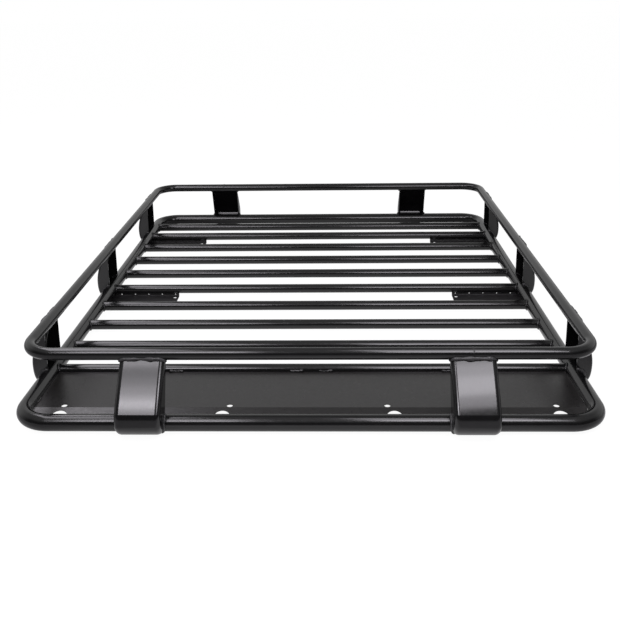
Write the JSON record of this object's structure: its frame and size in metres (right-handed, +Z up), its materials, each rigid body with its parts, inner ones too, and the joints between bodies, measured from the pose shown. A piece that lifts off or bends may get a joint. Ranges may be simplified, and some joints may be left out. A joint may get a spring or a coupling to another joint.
{
  "type": "roof cargo basket",
  "caption": "Welded tubular steel roof tray for carrying luggage on a vehicle: slatted floor, raised rail on pressed uprights, sheet front panel and mounting angles underneath.",
  "frame": {"origin": "centre of the footprint, on the plane of the undersides of the mounting angles", "axes": "+Z up, +Y towards the rear of the vehicle (the floor panel is at -Y), +X across it"},
  "size_m": [1.276, 1.6112, 0.1714],
  "materials": {
    "lower_frame_coat": "semi-gloss black powder coat",
    "rail_coat": "semi-gloss black powder coat",
    "slat_coat": "semi-gloss black powder coat",
    "upright_coat": "satin black powder coat",
    "panel_coat": "satin black powder coat, fine orange-peel texture",
    "angle_coat": "satin black powder coat"
  },
  "bodies": {
    "root": {"lower_frame_left": "lower_frame_coat", "lower_frame_right": "lower_frame_coat", "upper_rail_left": "rail_coat", "upper_rail_right": "rail_coat", "slat_01": "slat_coat", "slat_02": "slat_coat", "slat_03": "slat_coat", "slat_04": "slat_coat", "slat_05": "slat_coat", "slat_06": "slat_coat", "slat_07": "slat_coat", "slat_08": "slat_coat", "slat_09": "slat_coat", "slat_10": "slat_coat", "upright_front_left": "upright_coat", "upright_front_right": "upright_coat", "upright_rear_left": "upright_coat", "upright_rear_right": "upright_coat", "upright_side_left_1": "upright_coat", "upright_side_left_2": "upright_coat", "upright_side_left_3": "upright_coat", "upright_side_right_1": "upright_coat", "upright_side_right_2": "upright_coat", "upright_side_right_3": "upright_coat", "floor_panel": "panel_coat", "mounting_angle_middle_left": "angle_coat", "mounting_angle_middle_right": "angle_coat", "mounting_angle_rear_left": "angle_coat", "mounting_angle_rear_right": "angle_coat"}
  },
  "joints": []
}
